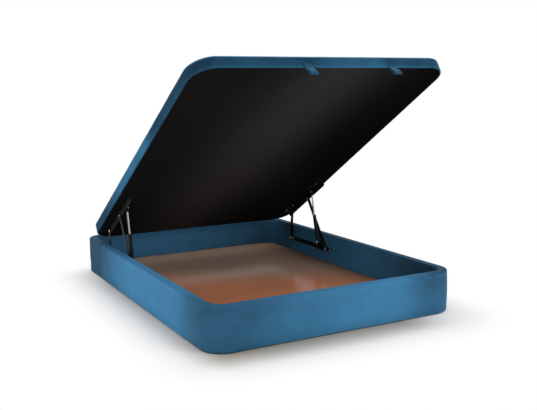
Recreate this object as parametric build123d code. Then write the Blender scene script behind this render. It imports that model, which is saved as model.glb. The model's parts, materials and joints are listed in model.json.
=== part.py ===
from build123d import *
import math
import os

# Storage bed base: an upholstered box with rounded corners and a lift-up lid on two side linkages.
# Millimetres. X runs across the bed, +Y points to the head end, +Z up, origin on the floor under
# the middle of the box. The lid stands open; lid pieces are drawn lying flat and then tipped up.

# Overall
bed_width = 1350.0
bed_length = 1900.0
box_height = 211.0
corner_radius = 118.0
lid_opening_angle = 31.1

# Box walls, from the outside inwards: padded cover, board, lining
cover_thickness = 14.0
panel_thickness = 28.0
lining_thickness = 4.0
cover_over_rim = 3.0
cover_edge_chamfer = 2.0
skin_gap = 0.2
dowel_thickness = 5.0
dowel_width = 20.0
dowel_length = 40.0
dowel_clearance = 0.1
dowel_edge_distance = 45.0
glide_height = 4.0
glide_width = 28.0
glide_inset = 120.0

# Floor of the box
floor_top = 40.0
floor_thickness = 10.0
floor_edge_gap = 0.4
cleat_width = 20.0
cleat_height = 22.0
bearer_width = 40.0
bearer_count = 3

# Lid, from below: black underside sheet, battens and steel frame, board, pad, quilted top
underside_thickness = 1.0
frame_depth = 30.0
lid_board_thickness = 9.0
pad_thickness = 9.0
quilt_thickness = 8.0
quilt_edge_chamfer = 5.0
border_thickness = 3.0
border_fold = 4.5
border_edge_chamfer = 0.8
batten_width = 30.0
tube_width = 30.0
tube_wall = 1.5
crossbar_count = 5
lid_clearance = 0.4

# Pull straps at the foot of the lid
strap_width = 42.0
strap_thickness = 1.6
strap_drop = 50.0
strap_lean = 15.0
strap_loop_width = 16.0
strap_neck_width = 5.0
strap_patch_height = 16.0
strap_left_x = -135.0
strap_right_x = 318.0

# Linkage pivots: on the box from its head end and rim, on the lid from its head edge and underside
rear_pivot_from_head = 344.0
rear_pivot_below_rim = 88.5
front_pivot_from_head = 773.0
front_pivot_below_rim = 91.0
gas_foot_from_head = 710.0
gas_foot_below_rim = 55.0
rear_joint_from_edge = 182.5
rear_joint_below_lid = 29.0
front_joint_from_edge = 419.0
front_joint_below_lid = 32.0
gas_top_from_edge = 510.0
gas_top_below_lid = 27.0

# Linkage plates and links
plate_thickness = 3.0
plate_half_height = 14.0
wall_bolt_from_rear_pivot = 28.0
tab_bolt_from_front_pivot = 45.0
tab_radius = 12.0
link_thickness = 4.0
link_side_gap = 1.2
rear_link_half_width = 13.5
front_link_half_width = 12.5
link_lip_depth = 9.0
link_lip_start = 24.0
link_lip_length = 62.0
link_lip_thickness = 3.0
ear_half_width = 14.0
ear_top_radius = 11.0
ear_bend_radius = 3.0
angle_leg_width = 35.0
angle_drop = 44.0
angle_bend_radius = 4.0
angle_rear_end = 150.0
angle_front_end = 645.0
angle_corner_radius = 8.0
screw_from_edge = (202.0, 248.0, 577.0)

# Pins, bolts and screws
pin_radius = 5.0
pin_clearance = 0.08
pin_head_across_flats = 15.0
pin_head_height = 2.2
open_pivot_gap = 0.3
bolt_radius = 4.0
bolt_head_across_flats = 13.0
bolt_head_height = 4.0
bolt_grip = 24.0
screw_radius = 2.5
screw_head_across_flats = 10.0
screw_head_height = 3.2
screw_grip = 14.0
hole_clearance = 0.1
cloth_slit = 10.0
cage_nut_hole = 9.0

# Gas springs
gas_axis_from_flange = 14.0
gas_tube_radius = 10.5
gas_tube_start = 15.0
gas_tube_end = 172.0
gas_rod_radius = 5.0
gas_rod_clearance = 0.15
gas_rod_overlap = 14.0
gas_bore_floor = 6.0
eye_radius = 8.5
eye_width = 9.0
eye_neck_width = 11.0
eye_neck_length = 22.0
stud_radius = 4.0
stud_cap_across_flats = 12.0
stud_cap_height = 2.5
stud_play = 0.5

# Worked out
half_width = bed_width / 2
half_length = bed_length / 2
board_face = cover_thickness + skin_gap
lining_face = board_face + panel_thickness + skin_gap
wall_thickness = lining_face + lining_thickness
board_top = box_height - cover_over_rim - skin_gap
frame_bottom = underside_thickness
board_bottom = frame_bottom + frame_depth
pad_bottom = board_bottom + lid_board_thickness
quilt_bottom = pad_bottom + pad_thickness
lid_core_inset = border_thickness + skin_gap
edge_tolerance = skin_gap / 10

# Planes across the bed of the linkage, at the right side, from the wall inwards
inner_face = half_width - wall_thickness
plate_outer = inner_face - skin_gap
plate_inner = plate_outer - plate_thickness
link_outer = plate_inner - link_side_gap
link_inner = link_outer - link_thickness
flange_outer = link_inner - link_side_gap
flange_inner = flange_outer - plate_thickness
gas_axis = flange_inner - gas_axis_from_flange


def turned(point, degrees):
    """A point of the side plane turned about its origin."""
    cosine, sine = math.cos(math.radians(degrees)), math.sin(math.radians(degrees))
    return (point[0] * cosine - point[1] * sine, point[0] * sine + point[1] * cosine)


def circles_cross(centre_a, radius_a, centre_b, radius_b):
    """The higher crossing of two circles."""
    dy, dz = centre_b[0] - centre_a[0], centre_b[1] - centre_a[1]
    apart = math.hypot(dy, dz)
    along = (radius_a**2 - radius_b**2 + apart**2) / (2 * apart)
    aside = math.sqrt(radius_a**2 - along**2)
    ends = [
        (
            centre_a[0] + (along * dy - side * aside * dz) / apart,
            centre_a[1] + (along * dz + side * aside * dy) / apart,
        )
        for side in (1, -1)
    ]
    return max(ends, key=lambda end: end[1])


def bearing(start, end):
    """Length and angle of the line between two points of the side plane."""
    dy, dz = end[0] - start[0], end[1] - start[1]
    return math.hypot(dy, dz), math.degrees(math.atan2(dz, dy))


# Fixed pivots on the box, and the lid's pivots from its lower head edge with the lid flat
rear_pivot = (half_length - rear_pivot_from_head, box_height - rear_pivot_below_rim)
front_pivot = (half_length - front_pivot_from_head, box_height - front_pivot_below_rim)
gas_foot = (half_length - gas_foot_from_head, box_height - gas_foot_below_rim)
rear_joint_flat = (-rear_joint_from_edge, -rear_joint_below_lid)
front_joint_flat = (-front_joint_from_edge, -front_joint_below_lid)
gas_top_flat = (-gas_top_from_edge, -gas_top_below_lid)
lid_edge_closed = (half_length, box_height + lid_clearance)


def on_lid(point, edge, degrees):
    """A lid point, given with the lid flat, for the lid's edge and tilt."""
    y, z = turned(point, degrees)
    return (edge[0] + y, edge[1] + z)


# Link lengths come from the closed lid, and the open lid's place from those lengths and its tilt
rear_link_length, rear_closed_angle = bearing(rear_pivot, on_lid(rear_joint_flat, lid_edge_closed, 0))
front_link_length, front_closed_angle = bearing(front_pivot, on_lid(front_joint_flat, lid_edge_closed, 0))
gas_closed_length, gas_closed_angle = bearing(gas_foot, on_lid(gas_top_flat, lid_edge_closed, 0))
rear_offset = turned(rear_joint_flat, -lid_opening_angle)
front_offset = turned(front_joint_flat, -lid_opening_angle)
lid_edge = circles_cross(
    (rear_pivot[0] - rear_offset[0], rear_pivot[1] - rear_offset[1]),
    rear_link_length,
    (front_pivot[0] - front_offset[0], front_pivot[1] - front_offset[1]),
    front_link_length,
)
rear_joint = on_lid(rear_joint_flat, lid_edge, -lid_opening_angle)
front_joint = on_lid(front_joint_flat, lid_edge, -lid_opening_angle)
gas_top = on_lid(gas_top_flat, lid_edge, -lid_opening_angle)
rear_open_angle = bearing(rear_pivot, rear_joint)[1]
front_open_angle = bearing(front_pivot, front_joint)[1]
gas_open_length, gas_open_angle = bearing(gas_foot, gas_top)
gas_stroke = gas_open_length - gas_closed_length


def write(name, shape):
    """One STEP file for one piece or one group of like pieces."""
    os.makedirs("parts", exist_ok=True)
    shape.label = name
    export_step(shape, f"parts/{name}.step")


def rounded_plate(inset, bottom, height, middle_y=0.0):
    """A plate with the bed's outline, drawn in from it all round."""
    outline = RectangleRounded(bed_width - 2 * inset, bed_length - 2 * inset, corner_radius - inset)
    return Pos(0, middle_y, bottom) * extrude(outline, height)


def rounded_ring(outer_inset, inner_inset, bottom, height, middle_y=0.0):
    outer = rounded_plate(outer_inset, bottom, height, middle_y)
    return outer - rounded_plate(inner_inset, bottom, height, middle_y)


def corner_arc(side_x, side_y, inset, thickness, bottom, height, middle_y=0.0):
    """A quarter of a ring that follows one rounded corner of the bed."""
    outer, inner = corner_radius - inset, corner_radius - inset - thickness
    quadrant = Pos(side_x * outer / 2, side_y * outer / 2) * Rectangle(outer, outer)
    arc = (Circle(outer) - Circle(inner)) & quadrant
    x, y = side_x * (half_width - corner_radius), side_y * (half_length - corner_radius)
    return Pos(x, middle_y + y, bottom) * extrude(arc, height)


def block(x_low, x_high, y_low, y_high, z_low, z_high):
    centre = ((x_low + x_high) / 2, (y_low + y_high) / 2, (z_low + z_high) / 2)
    return Pos(*centre) * Box(x_high - x_low, y_high - y_low, z_high - z_low)


def side_plane(point, degrees, x):
    """Sketch plane across X whose own X axis runs at an angle in the side plane."""
    direction = (0, math.cos(math.radians(degrees)), math.sin(math.radians(degrees)))
    return Plane(origin=(x, point[0], point[1]), x_dir=direction, z_dir=(1, 0, 0))


def side_pin(point, low, high, radius):
    """A round pin along X."""
    return side_plane(point, 0, low) * extrude(Circle(radius), high - low)


def side_head(point, low, high, across_flats):
    """A six-sided head or nut along X."""
    outline = RegularPolygon(across_flats / 2, 6, major_radius=False)
    return side_plane(point, 0, low) * extrude(outline, high - low)


def hull_face(*circles):
    """Flat outline stretched round circles given as (x, y, radius)."""
    edges = [edge for x, y, radius in circles for edge in (Pos(x, y) * Circle(radius)).edges()]
    return make_hull(edges)


def mirrored(shape, side):
    return shape if side == "right" else mirror(shape, about=Plane.YZ)


def tipped(shape):
    """A lid piece drawn flat with its lower head edge on the X axis, moved to the open lid."""
    return Location((0, lid_edge[0], lid_edge[1]), (-lid_opening_angle, 0, 0)) * shape


# Box walls
wall_bolt = (rear_pivot[0] - wall_bolt_from_rear_pivot, rear_pivot[1])
tab_bolt = (front_pivot[0] - tab_bolt_from_front_pivot, front_pivot[1])
wall_bolts = (wall_bolt, tab_bolt)
straight_x = half_width - corner_radius
straight_y = half_length - corner_radius
panel_middle = board_face + panel_thickness / 2
dowel_heights = (glide_height + dowel_edge_distance, board_top - dowel_edge_distance)


def dowels(clearance):
    """Flat dowels across the eight joints between wall boards and corner posts, or their slots."""
    thickness, width, length = (
        size + 2 * clearance for size in (dowel_thickness, dowel_width, dowel_length)
    )
    plates = []
    for side_x in (-1, 1):
        for side_y in (-1, 1):
            for z in dowel_heights:
                at_side = Pos(side_x * (half_width - panel_middle), side_y * straight_y, z)
                at_end = Pos(side_x * straight_x, side_y * (half_length - panel_middle), z)
                plates.append(at_side * Box(thickness, length, width))
                plates.append(at_end * Box(length, thickness, width))
    return plates


def bolt_bores():
    """Bores in the wall boards for the linkage bolts, both sides."""
    bores = []
    bore_end = plate_inner + bolt_grip + hole_clearance
    for point in wall_bolts:
        bore = side_pin(point, plate_inner, bore_end, bolt_radius + hole_clearance)
        bores += [bore, mirrored(bore, "left")]
    return bores


def bolt_slits():
    """Square cuts in the lining where the linkage bolts pass, both sides."""
    depth = 2 * (half_width - inner_face)
    return [
        Pos(side * half_width, y, z) * Box(depth, cloth_slit, cloth_slit)
        for y, z in wall_bolts
        for side in (-1, 1)
    ]


dowel_slots = dowels(dowel_clearance)
wall_bores = bolt_bores()
board_height = board_top - glide_height
side_panel = block(
    half_width - board_face - panel_thickness,
    half_width - board_face,
    -straight_y,
    straight_y,
    glide_height,
    board_top,
)
end_panel = block(
    -straight_x,
    straight_x,
    half_length - board_face - panel_thickness,
    half_length - board_face,
    glide_height,
    board_top,
)
write("side_panel_right", side_panel - dowel_slots - wall_bores)
write("side_panel_left", mirror(side_panel, about=Plane.YZ) - dowel_slots - wall_bores)
write("head_panel", end_panel - dowel_slots)
write("foot_panel", mirror(end_panel, about=Plane.XZ) - dowel_slots)
for name, side_x, side_y in (
    ("head_left", -1, 1),
    ("head_right", 1, 1),
    ("foot_left", -1, -1),
    ("foot_right", 1, -1),
):
    post = corner_arc(side_x, side_y, board_face, panel_thickness, glide_height, board_height)
    write(f"corner_post_{name}", post - dowel_slots)
write("corner_dowels", Compound(children=dowels(0)))


def edges_at(shape, z):
    """Edges that lie flat at a height."""
    return shape.edges().filter_by_position(Axis.Z, z - edge_tolerance, z + edge_tolerance)


def rim_cover():
    """Padded cover of the outer walls, turned in over the rim as far as the lining."""
    wall = rounded_ring(0, cover_thickness, glide_height, box_height - glide_height)
    turn_in = rounded_ring(0, wall_thickness, box_height - cover_over_rim, cover_over_rim)
    cover = wall + turn_in
    outer = [edge for edge in edges_at(cover, box_height) if on_outline(edge)]
    return chamfer(outer, cover_edge_chamfer)


def on_outline(edge):
    """Whether an edge lies on the bed's outer outline."""
    middle = edge @ 0.5
    x, y = abs(middle.X), abs(middle.Y)
    if x > straight_x and y > straight_y:
        return abs(math.hypot(x - straight_x, y - straight_y) - corner_radius) < skin_gap
    return abs(x - half_width) < skin_gap or abs(y - half_length) < skin_gap


lining_bottom = floor_top + skin_gap
lining_height = board_top - lining_bottom
write("outer_cover", rim_cover())
lining = rounded_ring(lining_face, wall_thickness, lining_bottom, lining_height)
write("inner_lining", lining - bolt_slits())

# Floor of the box
floor_inset = board_face + panel_thickness + floor_edge_gap
cleat_top = floor_top - floor_thickness
cleat_bottom = cleat_top - cleat_height
cleat_outer_x = half_width - board_face - panel_thickness
cleat_outer_y = half_length - board_face - panel_thickness
write("floor_board", rounded_plate(floor_inset, cleat_top, floor_thickness))
cleat_x, cleat_y = cleat_outer_x - cleat_width, cleat_outer_y - cleat_width
side_cleat = block(cleat_x, cleat_outer_x, -straight_y, straight_y, cleat_bottom, cleat_top)
end_cleat = block(-straight_x, straight_x, cleat_y, cleat_outer_y, cleat_bottom, cleat_top)
cleats = [
    side_cleat,
    mirror(side_cleat, about=Plane.YZ),
    end_cleat,
    mirror(end_cleat, about=Plane.XZ),
]
write("floor_cleats", Compound(children=cleats))
bearer_reach = cleat_x
bearer_pitch = 2 * straight_y / (bearer_count + 1)
bearer_places = [bearer_pitch * (n - (bearer_count - 1) / 2) for n in range(bearer_count)]
bearers = [
    block(-bearer_reach, bearer_reach, y - bearer_width / 2, y + bearer_width / 2, glide_height, cleat_top)
    for y in bearer_places
]
write("floor_bearers", Compound(children=bearers))


def glide_places():
    """Glides stand under the wall boards and under the middle of each bearer."""
    wall_x, wall_y = half_width - panel_middle, half_length - panel_middle
    reach_x, reach_y = half_width - corner_radius - glide_inset, half_length - corner_radius - glide_inset
    places = [(side * wall_x, y) for side in (-1, 1) for y in (-reach_y, 0, reach_y)]
    places += [(x, side * wall_y) for side in (-1, 1) for x in (-reach_x, reach_x)]
    return places + [(0, y) for y in bearer_places]


glide = Pos(0, 0, glide_height / 2) * Box(glide_width, glide_width, glide_height)
write("glides", Compound(children=[Pos(x, y, 0) * glide for x, y in glide_places()]))

# Lid, drawn flat: its head edge at y = 0 and its foot edge at y = -bed_length
lid_middle = -half_length
core_x = half_width - lid_core_inset
core_y = half_length - lid_core_inset
tube_x = flange_outer - angle_leg_width / 2


def lid_border():
    """Fabric band round the lid's edge, folded a little under it."""
    band = rounded_ring(0, border_thickness, 0, quilt_bottom, lid_middle)
    fold = rounded_ring(0, border_thickness + border_fold, 0, underside_thickness, lid_middle)
    border = band + fold
    outer = [edge for edge in edges_at(border, 0) if on_outline(Pos(0, -lid_middle, 0) * edge)]
    return chamfer(outer, border_edge_chamfer)


def lid_quilt():
    """Quilted top over its foam, softened round the upper edge."""
    quilt = rounded_plate(0, quilt_bottom, quilt_thickness, lid_middle)
    top = quilt.faces().sort_by(Axis.Z)[-1]
    return chamfer(top.edges(), quilt_edge_chamfer)


def tube(length, axis):
    """Square steel tube, centred, along X or Y."""
    bore = tube_width - 2 * tube_wall
    section = Rectangle(tube_width, frame_depth) - Rectangle(bore, frame_depth - 2 * tube_wall)
    bar = Pos(0, 0, -length / 2) * extrude(section, length)
    return Rot(90, 0, 0) * bar if axis == "y" else Rot(0, 90, 0) * (Rot(0, 0, 90) * bar)


def screw_cuts(cutter):
    """A cutter at each screw that holds an angle to the lid, both sides."""
    return [
        Pos(side * tube_x, -distance, 0) * cutter for distance in screw_from_edge for side in (-1, 1)
    ]


lid_bores = screw_cuts(Cylinder(screw_radius + hole_clearance, 2 * screw_grip))
lid_slits = screw_cuts(Box(cloth_slit, cloth_slit, 2 * screw_grip))
cage_holes = screw_cuts(Box(cage_nut_hole, cage_nut_hole, 2 * screw_grip))
write("lid_border", tipped(lid_border()))
write("lid_quilt", tipped(lid_quilt()))
write("lid_pad", tipped(rounded_plate(lid_core_inset, pad_bottom, pad_thickness, lid_middle)))
write("lid_board", tipped(rounded_plate(lid_core_inset, board_bottom, lid_board_thickness, lid_middle)))
underside_inset = border_thickness + border_fold + skin_gap
underside = rounded_plate(underside_inset, 0, underside_thickness, lid_middle) - lid_slits
write("lid_underside", tipped(underside))
side_batten = block(
    core_x - batten_width,
    core_x,
    lid_middle - straight_y,
    lid_middle + straight_y,
    frame_bottom,
    board_bottom,
)
end_batten = block(-straight_x, straight_x, core_y - batten_width, core_y, frame_bottom, board_bottom)
write("lid_batten_right", tipped(side_batten))
write("lid_batten_left", tipped(mirror(side_batten, about=Plane.YZ)))
write("lid_batten_head", tipped(Pos(0, lid_middle, 0) * end_batten))
write("lid_batten_foot", tipped(Pos(0, lid_middle, 0) * mirror(end_batten, about=Plane.XZ)))
batten_corners = [
    corner_arc(side_x, side_y, lid_core_inset, batten_width, frame_bottom, frame_depth, lid_middle)
    for side_x in (-1, 1)
    for side_y in (-1, 1)
]
write("lid_batten_corners", tipped(Compound(children=batten_corners)))
frame_middle = frame_bottom + frame_depth / 2
long_tube_length = 2 * straight_y
long_tube = Pos(0, lid_middle, frame_middle) * tube(long_tube_length, "y")
long_tubes = [Pos(side * tube_x, 0, 0) * long_tube - cage_holes for side in (-1, 1)]
write("lid_long_tubes", tipped(Compound(children=long_tubes)))
crossbar_length = 2 * tube_x - tube_width
crossbar_pitch = (long_tube_length - tube_width) / (crossbar_count - 1)
crossbars = [
    Pos(0, lid_middle + crossbar_pitch * (n - (crossbar_count - 1) / 2), frame_middle)
    * tube(crossbar_length, "x")
    for n in range(crossbar_count)
]
write("lid_crossbars", tipped(Compound(children=crossbars)))


def pull_strap(x):
    """Ribbon loop stitched to the lid's foot edge, leaning out as it hangs and widest low down."""
    half_neck, half_loop = strap_neck_width / 2, strap_loop_width / 2
    axis_x = -half_neck - strap_lean
    outline = Polygon(
        (-strap_neck_width, 0),
        (axis_x - half_loop, -strap_drop + half_loop),
        (axis_x - half_neck, -strap_drop - half_neck),
        (axis_x + half_neck, -strap_drop - half_neck),
        (axis_x + half_loop, -strap_drop + half_loop),
        (0, 0),
        align=None,
    )
    gap = offset(outline, -strap_thickness)
    patch = Pos(-half_neck, strap_patch_height / 2) * Rectangle(strap_neck_width, strap_patch_height)
    edge = (-bed_length - skin_gap, 0)
    return side_plane(edge, 0, x - strap_width / 2) * extrude(outline - gap + patch, strap_width)


write("pull_strap_left", tipped(pull_strap(strap_left_x)))
write("pull_strap_right", tipped(pull_strap(strap_right_x)))


# Linkage, drawn for the right side
def ear():
    """Foot of the gas spring: a strip bent in under the link's path and up again."""
    mid_plate, mid_ear = plate_inner + plate_thickness / 2, flange_inner + plate_thickness / 2
    low = front_pivot[1] - plate_half_height + plate_thickness / 2
    top = gas_foot[1] + ear_top_radius
    route = FilletPolyline(
        (mid_plate, low + 2 * ear_bend_radius),
        (mid_plate, low),
        (mid_ear, low),
        (mid_ear, top),
        radius=ear_bend_radius,
    )
    strip = trace(route, line_width=plate_thickness)
    depth = 2 * ear_half_width
    bent = Plane(origin=(0, gas_foot[0] + ear_half_width, 0), x_dir=(1, 0, 0), z_dir=(0, -1, 0))
    solid = bent * extrude(strip, depth)
    root = low - plate_thickness - gas_foot[1]
    root_edge = Line((-ear_half_width, root), (ear_half_width, root))
    outline = make_hull([*Circle(ear_top_radius).edges(), root_edge])
    reach = plate_outer - flange_inner + 2 * plate_thickness
    keep = side_plane(gas_foot, 0, flange_inner - plate_thickness) * extrude(outline, reach)
    return solid & keep


def lower_bracket():
    """Flat bar on the side wall with a tab at its front end and the gas spring's ear."""
    span = rear_pivot[0] - front_pivot[0]
    rise = rear_pivot[1] - front_pivot[1]
    bar = hull_face((0, 0, plate_half_height), (span, rise, plate_half_height))
    tab = hull_face((0, 0, tab_radius), (-tab_bolt_from_front_pivot, 0, tab_radius))
    plate = side_plane(front_pivot, 0, plate_inner) * extrude(bar + tab, plate_thickness)
    hole_radius = bolt_radius + hole_clearance
    holes = [side_pin(point, plate_inner, plate_outer, hole_radius) for point in wall_bolts]
    return (plate + ear()) - holes


def wall_bolt_set():
    """Hexagon bolts through the bar and the lining into the wall board."""
    bolts = []
    for point in wall_bolts:
        shank = side_pin(point, plate_inner, plate_inner + bolt_grip, bolt_radius)
        head = side_head(point, plate_inner - bolt_head_height, plate_inner, bolt_head_across_flats)
        bolts.append(shank + head)
    return Compound(children=bolts)


def box_pins():
    """Pins welded to the bar, each with a nut, that carry the two links."""
    nut_face = link_inner - skin_gap
    pins = []
    for point in (rear_pivot, front_pivot):
        nut = side_head(point, nut_face - pin_head_height, nut_face, pin_head_across_flats)
        pins.append(side_pin(point, nut_face, plate_inner, pin_radius) + nut)
    return Compound(children=pins)


def gas_stud(point, end):
    """Capped stud along X that an end eye of the gas spring turns on."""
    cap_face = gas_axis - eye_width / 2 - stud_play
    cap = side_head(point, cap_face - stud_cap_height, cap_face, stud_cap_across_flats)
    return side_pin(point, cap_face, end, stud_radius) + cap


def link(start, degrees, length, half_width_of_link):
    """Flat bar with round ends and a pin hole at each."""
    bar = hull_face((0, 0, half_width_of_link), (length, 0, half_width_of_link))
    for x in (0, length):
        bar = bar - Pos(x, 0) * Circle(pin_radius + pin_clearance)
    return side_plane(start, degrees, link_inner) * extrude(bar, link_thickness)


def rear_link():
    """Short link, stiffened by a lip along the lower part of its front edge."""
    bar = link(rear_pivot, rear_open_angle, rear_link_length, rear_link_half_width)
    lip = Pos(link_lip_start + link_lip_length / 2, rear_link_half_width - link_lip_thickness / 2)
    section = lip * Rectangle(link_lip_length, link_lip_thickness)
    plane = side_plane(rear_pivot, rear_open_angle, link_inner - link_lip_depth)
    return bar + plane * extrude(section, link_lip_depth)


def front_link_pin():
    """Pin riveted in the front link at the lid; it stops just short of the lid's angle."""
    return side_pin(front_joint, flange_outer + open_pivot_gap, link_outer, pin_radius)


def along(radius, start, end):
    """A round bar along X between two distances."""
    return Pos((start + end) / 2, 0, 0) * (Rot(0, 90, 0) * Cylinder(radius, end - start))


def gas_tube():
    """Cylinder of the gas spring, bored for the rod's full stroke."""
    body = along(gas_tube_radius, gas_tube_start, gas_tube_end)
    bore = along(gas_rod_radius + gas_rod_clearance, gas_tube_start + gas_bore_floor, gas_tube_end)
    return side_plane(gas_foot, gas_open_angle, gas_axis) * (body - bore)


def gas_rod():
    """Rod that reaches from inside the cylinder to the neck of its end eye."""
    rod = along(gas_rod_radius, gas_tube_end - gas_rod_overlap, gas_open_length - eye_neck_length)
    return side_plane(gas_foot, gas_open_angle, gas_axis) * rod


def gas_eye(point, degrees, neck_length):
    """Forged flat end eye of the gas spring whose neck points along the spring."""
    neck_end = Line((neck_length, -eye_neck_width / 2), (neck_length, eye_neck_width / 2))
    outline = make_hull([*Circle(eye_radius).edges(), neck_end]) - Circle(stud_radius + hole_clearance)
    return side_plane(point, degrees, gas_axis - eye_width / 2) * extrude(outline, eye_width)


def upper_bracket():
    """Steel angle under the lid: one leg screwed to the lid, the other hanging with the pivots."""
    leg_end = flange_outer - angle_leg_width
    route = FilletPolyline(
        (leg_end, -plate_thickness / 2),
        (flange_outer - plate_thickness / 2, -plate_thickness / 2),
        (flange_outer - plate_thickness / 2, -angle_drop),
        radius=angle_bend_radius,
    )
    strip = trace(route, line_width=plate_thickness)
    start = Plane(origin=(0, -angle_rear_end, 0), x_dir=(1, 0, 0), z_dir=(0, -1, 0))
    bent = start * extrude(strip, angle_front_end - angle_rear_end)
    middle = -(angle_rear_end + angle_front_end) / 2
    length, depth = angle_front_end - angle_rear_end, 2 * angle_drop
    outline = Pos(middle, 0) * RectangleRounded(length, depth, angle_corner_radius)
    reach = angle_leg_width + 2 * plate_thickness
    keep = side_plane((0, 0), 0, leg_end - plate_thickness) * extrude(outline, reach)
    return (bent & keep) - lid_bores


def lid_pins():
    """Pin welded to the angle, with a nut, that the rear link turns on, and the front joint's nut."""
    nut_face = link_outer + skin_gap
    rear = side_pin(rear_joint_flat, flange_outer, nut_face, pin_radius)
    rear += side_head(rear_joint_flat, nut_face, nut_face + pin_head_height, pin_head_across_flats)
    front = side_head(
        front_joint_flat, flange_inner - pin_head_height, flange_inner, pin_head_across_flats
    )
    return Compound(children=[rear, front])


def angle_screws():
    """Hexagon screws up through the angle and the underside sheet into the steel tube."""
    outline = RegularPolygon(screw_head_across_flats / 2, 6, major_radius=False)
    head = Pos(0, 0, -plate_thickness - screw_head_height) * extrude(outline, screw_head_height)
    shank = Pos(0, 0, screw_grip / 2 - plate_thickness) * Cylinder(screw_radius, screw_grip)
    return Compound(children=[Pos(tube_x, -distance, 0) * (head + shank) for distance in screw_from_edge])


for side in ("left", "right"):
    gas_pull = gas_open_angle + 180
    pieces = {
        "lower_bracket": lower_bracket(),
        "lower_bracket_bolts": wall_bolt_set(),
        "link_pins": box_pins(),
        "gas_foot_stud": gas_stud(gas_foot, flange_inner),
        "rear_link": rear_link(),
        "front_link": link(front_pivot, front_open_angle, front_link_length, front_link_half_width),
        "front_link_pin": front_link_pin(),
        "gas_cylinder": gas_tube(),
        "gas_foot_eye": gas_eye(gas_foot, gas_open_angle, gas_tube_start),
        "gas_rod": gas_rod(),
        "gas_rod_eye": gas_eye(gas_top, gas_pull, eye_neck_length),
        "gas_top_stud": gas_stud(gas_top, flange_inner - open_pivot_gap),
        "upper_bracket": tipped(upper_bracket()),
        "upper_bracket_pins": tipped(lid_pins()),
        "upper_bracket_screws": tipped(angle_screws()),
    }
    for name, piece in pieces.items():
        write(f"{name}_{side}", mirrored(piece, side))

print("lid edge open", lid_edge)
print("pivots", rear_pivot, front_pivot, gas_foot, rear_joint, front_joint, gas_top)
print("rear link", rear_link_length, rear_open_angle, rear_closed_angle)
print("front link", front_link_length, front_open_angle, front_closed_angle)
print("gas spring", gas_open_length, gas_closed_length, gas_open_angle, gas_closed_angle, gas_stroke)
print("planes", inner_face, plate_inner, link_outer, link_inner, flange_outer, flange_inner, gas_axis)
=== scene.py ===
"""Storage bed base: velvet, cloth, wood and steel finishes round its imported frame."""

import json
import math

import bmesh
import bpy
from mathutils import Matrix, Vector, noise


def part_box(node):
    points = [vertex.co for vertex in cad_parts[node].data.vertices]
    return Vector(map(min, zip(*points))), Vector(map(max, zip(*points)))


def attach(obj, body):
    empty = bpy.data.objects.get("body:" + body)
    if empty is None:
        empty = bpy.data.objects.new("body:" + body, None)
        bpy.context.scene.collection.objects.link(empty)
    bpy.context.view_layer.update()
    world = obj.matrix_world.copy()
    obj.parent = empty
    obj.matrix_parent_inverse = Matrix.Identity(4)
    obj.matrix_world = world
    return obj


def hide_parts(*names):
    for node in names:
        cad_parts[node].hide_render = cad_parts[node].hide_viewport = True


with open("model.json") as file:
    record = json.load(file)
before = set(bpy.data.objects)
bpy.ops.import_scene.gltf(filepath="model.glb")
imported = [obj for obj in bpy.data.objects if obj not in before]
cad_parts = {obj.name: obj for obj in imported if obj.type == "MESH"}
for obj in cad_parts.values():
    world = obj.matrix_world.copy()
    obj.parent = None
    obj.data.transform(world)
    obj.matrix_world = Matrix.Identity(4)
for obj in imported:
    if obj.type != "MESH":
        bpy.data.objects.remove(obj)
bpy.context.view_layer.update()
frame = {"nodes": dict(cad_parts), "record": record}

bl_info = {
    "name": "Storage bed base",
    "version": (1, 0, 0),
    "blender": (4, 5, 0),
    "location": "3D View > Sidebar > Bed base",
    "description": "Dresses a storage bed base: velvet cover, padded lid, straps and lift mechanism",
    "category": "Object",
}

# Millimetres in metres, the photograph's width and focal length in pixels, the sensor's width in
# millimetres, and the frames of each padding simulation
MM = 0.001
PHOTO_WIDTH = 537
PHOTO_FOCAL = 772.7
SENSOR_WIDTH = 36.0
SWELL_FRAMES = 12

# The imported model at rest: the box's outside, and the lid's middle, underside and tilt
cover_low, cover_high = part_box("outer_cover")
lining_low, lining_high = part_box("inner_lining")
half_width, half_length = cover_high.x, cover_high.y
corner_radius = 118 * MM
lid_thickness = 57 * MM
border_height = 49 * MM
lid_top = next(m for m in frame["record"]["mounts"] if m["name"] == "mattress_rest")
lid_up = Vector(lid_top["axis"])
strap_middles = [sum(corner.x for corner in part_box(f"pull_strap_{side}")) / 2 for side in ("left", "right")]
lid_place = Matrix.Translation(Vector(lid_top["pos_m"]) - lid_thickness * lid_up) @ Matrix(
    ((1, 0, 0), (0, lid_up.z, lid_up.y), (0, -lid_up.y, lid_up.z))
).to_4x4()


def linear(code):
    """An sRGB hex colour as linear red, green and blue."""
    parts = [int(code[n : n + 2], 16) / 255 for n in (0, 2, 4)]
    return [c / 12.92 if c <= 0.04045 else ((c + 0.055) / 1.055) ** 2.4 for c in parts]


def colour(name, code, use):
    """A colour setting, with its sRGB hex default."""
    return bpy.props.FloatVectorProperty(
        name=name, description=use, default=linear(code), size=3, subtype="COLOR", min=0, max=1
    )


def length(name, millimetres, use):
    """A length setting, with its default in millimetres."""
    return bpy.props.FloatProperty(
        name=name, description=use, default=millimetres * MM, unit="LENGTH", precision=4
    )


class VelvetSettings(bpy.types.PropertyGroup):
    # Pile and inside pile are the lit ends, and deep pile the shaded end, of the painted light and shade on
    # the velvet
    pile: colour("Pile", "3E80AB", "Velvet where the pile is brushed flat and catches the light")
    deep: colour("Deep pile", "16354A", "Velvet where the pile stands up and looks darker")
    inside: colour("Inside pile", "376E92", "Velvet of the lining inside the box")
    crown: length("Crown", 2.2, "How far the padded cover stands out in the middle of its height")
    slack: length("Slack", 1.1, "How far the cover and the border wander in and out")


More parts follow.
